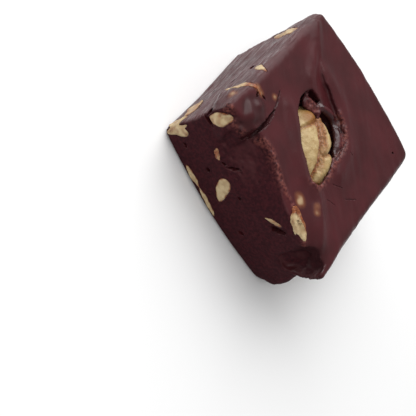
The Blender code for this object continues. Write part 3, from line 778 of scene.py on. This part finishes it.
# Nuts at an edge: the two at the foot of the front left corner, the one that the front rim bares and the
# curved one whose edge rims the lump. They are whole nuts, drawn back to the surface of the fudge.
RIM_NUT = (
    (-29.2, -17.6, 18.4, 0.4), (-29.3, -16.8, 20.4, 1.1), (-29.3, -16.4, 22.8, 1.6),
    (-29.0, -15.9, 25.0, 1.4), (-28.2, -14.9, 27.0, 1.0), (-26.6, -14.0, 28.3, 0.5),
    (-25.0, -14.1, 28.8, 0.3), (-24.2, -14.5, 29.0, 0.2),
)


def settle(obj, proud):
    """Draws what stands out of the fudge back to its surface, so that a nut at an edge is flush with it."""
    for vert in obj.data.vertices:
        place, out, _, _ = fudge_surface.find_nearest(vert.co)
        over = (vert.co - place).dot(out) / MM
        if over > 0.0:
            vert.co = place + out * min(over, proud) * MM
    return obj


upright = Matrix.Rotation(math.radians(-78), 3, "Y")
along_rim = Matrix.Rotation(math.radians(-16), 3, "Z")
foot = blob("front_foot", (-27.2, -26.0, 5.6), (4.9, 2.6, 2.5), upright, segments=64, rough=0.45, pitch=1.4)
finish_nut("walnut_front_foot", settle(foot, 0.35), sliced, 0.15)
foot = blob("left_foot", (-28.2, -18.0, 6.8), (2.4, 4.2, 2.8), segments=64, rough=0.4, pitch=1.5)
finish_nut("walnut_left_foot", settle(foot, 0.2), sliced, 0.3)
bared = blob("edge_nut", (11.5, -28.6, 27.0), (5.2, 2.3, 2.6), along_rim, segments=64, rough=0.3, pitch=1.6)
finish_nut(
    "walnut_edge", settle(bared, 0.12), sliced, 0.1,
    lambda point: smooth_step(point.y, -28.2, -27.4) + 1.0 - smooth_step(point.x, 7.2, 8.8),
)
finish_nut(
    "walnut_lump_rim", settle(bar("lump_rim_nut", RIM_NUT, segments=20), 0.12), sliced, 0.15,
    lambda point: smooth_step(point.z, 25.5, 27.5),
)


# The walnut half: two long lobes with a deep groove between them, a shorter fold at its upper end and a
# notch in its right lobe. It is mostly blanched, and papery skin is left in the groove and beside it.
HALF_CENTRE, HALF_RADII = Vector((0.1, -3.7, 21.7)), Vector((13.6, 9.8, 6.7))
HALF_TURN = (Matrix.Rotation(math.radians(-44), 4, "Z") @ Matrix.Rotation(math.radians(8), 4, "X")).to_3x3()
GROOVE = (
    (-10.2, 2.6), (-8.0, 2.2), (-5.2, 1.9), (-2.0, 2.1), (1.1, 1.8), (5.8, 1.0), (9.6, -0.8), (12.4, -2.6),
)
HALF_FOLD = ((-3.6, -6.6), (-4.9, -4.2), (-6.0, -1.2), (-8.4, 2.0))
NOTCH = ((0.2, 10.2), (0.9, 7.6), (2.2, 5.4), (3.4, 3.2))
KNOB = Vector((-8.9, -0.7))
HALF_RELIEF = (
    {"path": GROOVE, "height": -1.5, "width": 0.9},
    {"path": HALF_FOLD, "height": -0.9, "width": 0.7},
    {"path": NOTCH, "height": -1.2, "width": 0.7},
    {"path": ((-7.5, 6.2), (-3.4, 7.2), (-0.8, 6.8)), "height": 0.7, "width": 1.6},
    {"path": ((-7.0, 4.0), (-1.0, 4.2)), "height": -0.5, "width": 1.3},
    {"path": ((3.4, 6.2), (6.0, 5.2), (9.4, 2.2)), "height": 0.7, "width": 1.7},
)
HALF_VOXEL = 0.24


def dip(plan, path, width):
    """1 on a path in the nut's own plan, falling off smoothly to its sides."""
    return math.exp(-((away_from_path(plan, path) / width) ** 2))


def shape_half(vert):
    """Where a point of a ball goes in the nut half."""
    along, across, up = vert.co
    plan = Vector((along * HALF_RADII.x, across * HALF_RADII.y))
    topness = smooth_step(up, -0.2, 0.45)
    lift = sum(mark["height"] * dip(plan, mark["path"], mark["width"]) for mark in HALF_RELIEF)
    lift += 0.8 * math.exp(-(((plan - KNOB).length / 2.3) ** 2))
    lobes = 1.0 + 0.05 * noise.noise(vert.co * 2.2 + Vector((3.0, 1.0, 0.0)))
    lobes -= 0.12 * math.exp(-(((along - 0.03) / 0.09) ** 2)) * smooth_step(across, 0.5, 0.9)
    lobes -= 0.10 * math.exp(-(((along + 0.50) / 0.10) ** 2)) * smooth_step(-across, 0.5, 0.9)
    point = Vector((plan.x * lobes, plan.y * lobes, up * HALF_RADII.z))
    return point + Vector((0.0, 0.0, lift * topness))


bm = bmesh.new()
bmesh.ops.create_uvsphere(bm, u_segments=160, v_segments=100, radius=1.0)
for vert in bm.verts:
    vert.co = HALF_CENTRE + HALF_TURN @ shape_half(vert)
half = object_from("walnut_half_kernel", bm)
apply_modifier(half, "REMESH", mode="VOXEL", voxel_size=HALF_VOXEL * MM, use_smooth_shade=True)


def in_half(point):
    """Block millimetres to the nut half's own plan."""
    return (HALF_TURN.transposed() @ (point - HALF_CENTRE)).to_2d()


def half_skin(point, out):
    """Where the papery skin is left: the groove, the inner side of the right lobe, the fold and the ends."""
    plan = in_half(point + Vector(noise.noise_vector(point / 0.9)) * 0.5)
    band = smooth_step(plan.y, 1.4, 2.2) * (1.0 - smooth_step(plan.y, 4.6, 6.0))
    band *= 1.0 - smooth_step(plan.x, -1.0, 3.0)
    low_band = smooth_step(plan.y - 0.1 * plan.x, 0.2, 0.8)
    low_band *= 1.0 - smooth_step(plan.y + 0.35 * plan.x, 4.0, 6.0)
    ends = smooth_step(plan.x, 10.0, 12.0)
    amount = max(0.95 * dip(plan, GROOVE, 0.75), 0.8 * band, 0.55 * low_band * (plan.x > 0.0), 0.8 * ends)
    amount = max(amount, 0.7 * dip(plan, HALF_FOLD, 0.5), 0.7 * dip(plan, NOTCH, 0.6))
    amount = max(amount, 0.55 * math.exp(-(((plan - Vector((-7.2, 1.2))).length / 2.0) ** 2)))
    return max(amount, smooth_step(-out.z, -0.1, 0.4) * 0.9)


def wrinkles(point, out):
    """Fine wrinkles, deeper where the skin is."""
    lift = 0.14 * noise.noise(point / 1.7) + 0.12 * abs(noise.noise(point / 0.8))
    return lift * (1.0 + 2.6 * half_skin(point, out))


push_out(half, wrinkles)
paint(half, "skin", half_skin)
paint(half, "gold", lambda p, out: math.exp(-(((in_half(p) - KNOB).length / 3.0) ** 4)))
blanched = walnut_material("blanched_walnut_kernel", "#a68858", "#b9a172")
finish_nut("walnut_half", half, blanched)


# The nuts' pockets, the crack beside the lump with a small one behind it, hair cracks, air holes and the
# gaps that opened next to nuts. A hole is given by its side, its two coordinates there, its half length,
# its half width and its tilt in degrees.
POCKET_GAP = 0.05
CRACKS = (
    {
        "width": 2.0, "depth": 6.0,
        "path": ((-18.5, -12.0), (-18.1, -15.2), (-17.8, -18.7), (-18.2, -23.1), (-18.9, -26.9)),
    },
    {
        "width": 0.9, "depth": 2.4,
        "path": ((-20.9, -6.0), (-20.3, -7.8), (-19.4, -9.6), (-18.8, -11.2), (-18.4, -13.0)),
    },
    {"width": 0.22, "depth": 0.3, "path": ((9.4, 6.3), (11.4, 7.2))},
    {"width": 0.22, "depth": 0.3, "path": ((12.1, -7.4), (15.7, -4.4))},
    {"width": 0.22, "depth": 0.3, "path": ((18.8, -5.9), (21.9, -1.5))},
    {"width": 0.22, "depth": 0.3, "path": ((14.0, -13.0), (17.5, -11.2))},
)
CRACK_SHEAR = Vector((0.40, 0.0, -1.0))
AIR_HOLES = (
    ("front", -22.4, 5.4, 0.9, 0.7, 0), ("front", -13.2, 8.8, 0.8, 0.6, 20),
    ("front", -10.6, 17.2, 2.1, 0.6, 50), ("front", -13.4, 15.4, 0.8, 0.4, 30),
    ("front", -1.9, 14.1, 0.7, 0.5, 0), ("front", 9.0, 7.0, 1.2, 0.6, 30),
    ("front", 11.2, 20.6, 2.5, 1.2, 58), ("front", -26.6, 18.5, 2.4, 0.6, 14),
    ("front", -28.7, 19.6, 1.3, 0.45, -70), ("left", -10.9, 9.8, 1.2, 0.4, 0),
    ("left", -20.2, 10.5, 0.9, 0.4, 20), ("left", -8.9, 17.0, 1.1, 0.5, -30),
    ("left", -1.5, 19.9, 0.9, 0.7, 0), ("right", 3.0, 13.4, 1.2, 0.8, 15),
    ("back", -2.0, 13.0, 1.3, 0.7, -20), ("top", 22.3, 25.6, 0.5, 0.35, 40),
    ("top", -25.0, -15.4, 1.0, 0.5, -60), ("top", -23.0, -13.7, 0.9, 0.35, 0),
)
AIR_HOLE_DEPTH = 2.6


def crack_space(path, width, depth):
    """The space in a crack along the top: a curved slot that narrows downwards and at its ends."""
    spots = smooth_curve(path, 8)
    rows = []
    for i, spot in enumerate(spots):
        run = spots[min(i + 1, len(spots) - 1)] - spots[max(i - 1, 0)]
        across = Vector((-run.y, run.x, 0.0)).normalized()
        fullness = math.sin(math.pi * (i + 1.0) / (len(spots) + 1.0))
        half_width = width / 2 * (0.3 + 0.7 * fullness) * (1.0 + 0.6 * noise.noise(spot.to_3d() / 0.9))
        level = strike("top", spot.x, spot.y)
        top = level + Vector((0.0, 0.0, 3.0))
        foot = level + CRACK_SHEAR * depth * (0.2 + 0.8 * fullness)
        wide = across * half_width
        rows.append([top + wide, top - wide, foot - wide * 0.8, foot + wide * 0.8])
    bm = bmesh.new()
    made = skin_between(bm, rows, closed=True)
    bm.faces.new(made[0])
    bm.faces.new(made[-1][::-1])
    return object_from("crack_space", bm)


def hole_space(side, a, b, length, width, tilt):
    """The space of an air hole or of a gap in one side."""
    out = SIDES[side][0]
    sideways = Vector((0, 0, 1)).cross(out) if side != "top" else Vector((1, 0, 0))
    axes = Matrix((sideways, out.cross(sideways), out)).transposed()
    turn = axes @ Matrix.Rotation(math.radians(tilt), 3, "Z")
    radii = (length, width, AIR_HOLE_DEPTH * max(1.0, width))
    return blob("hole", strike(side, a, b), radii, turn, segments=20, rough=0.5, pitch=1.8)


def pocket_of(piece):
    """A nut's own form, a little bigger."""
    pocket = bpy.data.objects.new("pocket", piece.data.copy())
    pocket.data.materials.clear()
    bpy.context.scene.collection.objects.link(pocket)
    push_out(pocket, lambda point, out: POCKET_GAP)
    return pocket


spaces = [pocket_of(piece) for piece in nuts.values()]
spaces += [crack_space(**crack) for crack in CRACKS]
spaces += [hole_space(*hole) for hole in AIR_HOLES]
join(spaces[0], spaces[1:])
carve(block, spaces[0])
bm = bmesh.new()
bm.from_mesh(block.data)
flat_faces = [face for face in bm.faces if all(vert.co.z < 1e-6 for vert in face.verts)]
bmesh.ops.dissolve_faces(bm, faces=flat_faces)
bm.to_mesh(block.data)
bm.free()
block.data.shade_smooth()


# Cooked chocolate fudge. The poured top has a satin skin, the cuts are matt and grainy, the front, back and
# right cuts are painted darker than the top as painted shade, the left one is smeared by the knife and shines
# at a low angle, crumbs are lighter, and where the fudge is thin over a nut the nut's tan comes through.
def product(tree, first, second):
    return add(tree, "ShaderNodeMath", {0: first, 1: second}, operation="MULTIPLY").outputs["Value"]


def multiply_add(tree, first, second, third):
    inputs = {0: first, 1: second, 2: third}
    return add(tree, "ShaderNodeMath", inputs, operation="MULTIPLY_ADD").outputs["Value"]


BLOTCH_SIZE, GRAIN_SIZE, FINE_GRAIN_SIZE = 9.0, 0.9, 0.5
STREAK_SIZE, STREAK_STRETCH, SMEAR_BUMP, BUMP_DEPTH = 0.7, (1.0, 0.12, 1.0), 6.0, 0.15
TOP_ROUGHNESS, CUT_ROUGHNESS, GLOSS_ROUGHNESS, SMEAR_ROUGHNESS = 0.38, 0.75, -0.16, (-0.16, 0.22)
TOP_SHINE, CUT_SHINE, GLOSS_SHINE, SMEAR_SHINE = 0.19, 0.08, 0.35, 0.25
chocolate, tree, shader = shader_of("cooked_chocolate_fudge")
cut, crumbly, thin = layer(tree, "cut"), layer(tree, "crumb"), layer(tree, "thin")
glossy, smeared, wet_and_shade = layer(tree, "gloss"), layer(tree, "smear"), layer(tree, "wet_and_shade")
blotch = span(tree, pattern(tree, BLOTCH_SIZE), 0.35, 0.65, 0.0, 1.0)
grain = span(tree, pattern(tree, GRAIN_SIZE, 3.0), 0.40, 0.66, 0.0, 1.0)
place = add(tree, "ShaderNodeTexCoord").outputs["Object"]
stretched = add(tree, "ShaderNodeMapping", {"Vector": place, "Scale": STREAK_STRETCH}).outputs["Vector"]
streak_inputs = {"Vector": stretched, "Scale": 1.0 / (STREAK_SIZE * MM), "Detail": 3.0}
streaks = add(tree, "ShaderNodeTexNoise", streak_inputs).outputs["Fac"]

top_colour = blend(tree, blotch, "#40191c", "#4b1d21")
# The darker cut colour is painted shade, with the grain of the cut on it.
shaded_cut_colour = blend(tree, grain, "#301318", "#3f191e")
colour = blend(tree, cut, top_colour, shaded_cut_colour)
colour = blend(tree, product(tree, crumbly, grain), colour, "#7c463f")
# Darker where the bead and the lump are wet, and painted shade inside the torn recess at the front right
# corner.
colour = blend(tree, wet_and_shade, colour, "#22090b")
colour = blend(tree, span(tree, thin, 0.1, 0.5, 0.0, 1.0), colour, "#6e402c")
colour = blend(tree, span(tree, thin, 0.5, 1.0, 0.0, 1.0), colour, "#ab9070")
tree.links.new(colour, shader.inputs["Base Color"])

rough = span(tree, cut, 0.0, 1.0, TOP_ROUGHNESS, CUT_ROUGHNESS)
rough = multiply_add(tree, glossy, GLOSS_ROUGHNESS, rough)
rough = multiply_add(tree, smeared, span(tree, streaks, 0.35, 0.65, *SMEAR_ROUGHNESS), rough)
tree.links.new(rough, shader.inputs["Roughness"])
shine = span(tree, cut, 0.0, 1.0, TOP_SHINE, CUT_SHINE)
shine = multiply_add(tree, smeared, SMEAR_SHINE, shine)
shine = multiply_add(tree, glossy, GLOSS_SHINE, shine)
tree.links.new(shine, shader.inputs["Specular IOR Level"])
grain_height = product(tree, pattern(tree, FINE_GRAIN_SIZE, 3.0), cut)
height = multiply_add(tree, streaks, product(tree, smeared, SMEAR_BUMP), grain_height)
bump = add(tree, "ShaderNodeBump", {"Height": height, "Strength": 0.6, "Distance": BUMP_DEPTH * MM})
tree.links.new(bump.outputs["Normal"], shader.inputs["Normal"])

BEAD_PLAN = [spot[:2] for spot in BEAD]
NEST = Vector((-8.8, 5.4, 25.6))
# The middle and the reach of the painted shade inside the torn recess.
SHADED_RECESS_PLACE, SHADED_RECESS_REACH = Vector((23.6, -29.6, 23.6)), 5.5
THIN_SPOTS = (
    (Vector((6.3, -23.0, 28.0)), 1.7), (Vector((7.8, -23.5, 28.0)), 1.6),
    (Vector((12.2, -19.5, 28.2)), 1.1), (Vector((13.7, -20.7, 28.2)), 1.1),
    (Vector((-24.5, -13.9, 28.6)), 1.2), (Vector((-26.5, -13.6, 28.2)), 1.2),
    (Vector((-20.6, -9.4, 28.4)), 1.1), (Vector((-29.6, -21.0, 25.4)), 1.5),
    (Vector((23.3, -11.9, 28.0)), 0.4),
)


def cutness_and_shade(point, out):
    """1 on the matt front, back and right cuts, 0.1 on the smeared left one, 0.4 on slopes, 0 on the top; it
    also places the painted shade of the cuts.
    """
    side = 1.0 - smooth_step(out.z, 0.35, 0.75)
    outside = max(abs(point.x), abs(point.y)) > 21.0
    smeared = smooth_step(-out.x, 0.5, 0.8)
    return side * mix(1.0, 0.1, smeared) if outside else 0.4 * side


def crumbliness(point, out):
    """1 on the crumbs at the ragged edges and in the hollow."""
    nest = math.exp(-(((point - NEST).length / 3.2) ** 4))
    return max(raggedness(point), nest)


def thinness(point, out):
    """How far a nut shows through the fudge."""
    spots = (math.exp(-(((point - place).length / reach) ** 2)) for place, reach in THIN_SPOTS)
    wander = 0.75 + 0.35 * noise.noise(point / 1.6)
    return min(1.0, sum(spots) * wander)


paint(block, "cut", cutness_and_shade)
paint(block, "crumb", crumbliness)
paint(block, "thin", thinness)
paint(block, "smear", lambda point, out: smooth_step(-out.x, 0.5, 0.8))


def wet_and_shaded_parts(point):
    """Shares of the bead in the hollow, of the lump, and of the painted shade in the torn recess at the front
    right corner.
    """
    bead_share = dip(point.to_2d(), BEAD_PLAN, 1.5) if 23.0 < point.z < 27.6 else 0.0
    off = Vector(a / b for a, b in zip(point - LUMP_CENTRE, LUMP_RADII)).length
    lump_share = (1.0 - smooth_step(off, 1.0, 1.12)) * smooth_step(point.z, 24.5, 27.0)
    recess_shade_share = math.exp(-(((point - SHADED_RECESS_PLACE).length / SHADED_RECESS_REACH) ** 4))
    return bead_share, lump_share, recess_shade_share


def glossiness(point, out):
    """How far the fudge shines more than the rest of the top."""
    bead_share, lump_share, _ = wet_and_shaded_parts(point)
    return max(bead_share, 0.12 * lump_share)


def wetness_and_shade(point, out):
    """How far the fudge is darkened: as wet fudge on the bead and the lump, as painted shade in the torn
    recess.
    """
    bead_share, lump_share, recess_shade_share = wet_and_shaded_parts(point)
    return max(0.6 * bead_share, 0.5 * lump_share, 0.65 * recess_shade_share)


paint(block, "gloss", glossiness)
paint(block, "wet_and_shade", wetness_and_shade)
block.data.materials.clear()
block.data.materials.append(chocolate)
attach(block, "root")
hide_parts("fudge")
